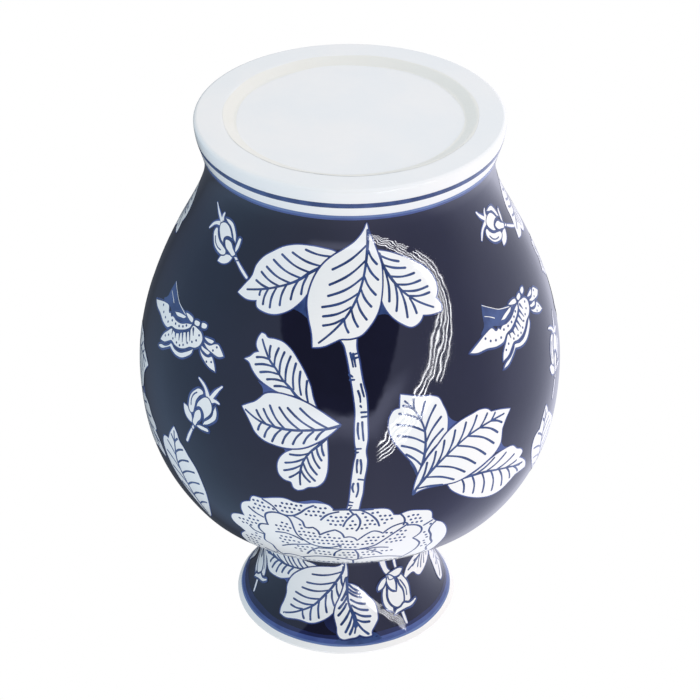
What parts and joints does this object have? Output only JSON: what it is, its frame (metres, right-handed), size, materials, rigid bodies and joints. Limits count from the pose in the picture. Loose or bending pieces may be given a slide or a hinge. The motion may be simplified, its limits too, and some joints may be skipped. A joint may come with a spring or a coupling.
{
  "type": "pottery vase",
  "caption": "Glazed pottery vase: round belly, waisted neck, flared mouth and foot, cobalt ground with painted white leaves, buds, butterflies and a large flower.",
  "frame": {"origin": "middle of the foot ring's resting plane, on the vase's axis", "axes": "+Z from the foot up to the mouth along the vase's axis; +X and +Y level; -Y is the side with the long stem and its large flower"},
  "size_m": [0.2254, 0.2254, 0.305],
  "materials": {
    "white_glaze": "hard, clear gloss over a cool white body",
    "cobalt_glaze": "very dark blue-black underglaze cobalt under a deep, smooth gloss",
    "cobalt_line": "brushed cobalt line and wash under the same gloss, lighter where the brush ran thin",
    "bare_clay": "unglazed, fine-grained and matt, very faintly cream",
    "fired_slip": "fired slip, matt where it stands inside the wall"
  },
  "bodies": {
    "root": {"foot_and_floor": "white_glaze", "lower_body": "cobalt_glaze", "upper_body": "cobalt_glaze", "neck_and_mouth": "cobalt_glaze", "foot_slip_joint": "fired_slip", "belly_slip_joint": "fired_slip", "neck_slip_joint": "fired_slip"}
  },
  "joints": []
}
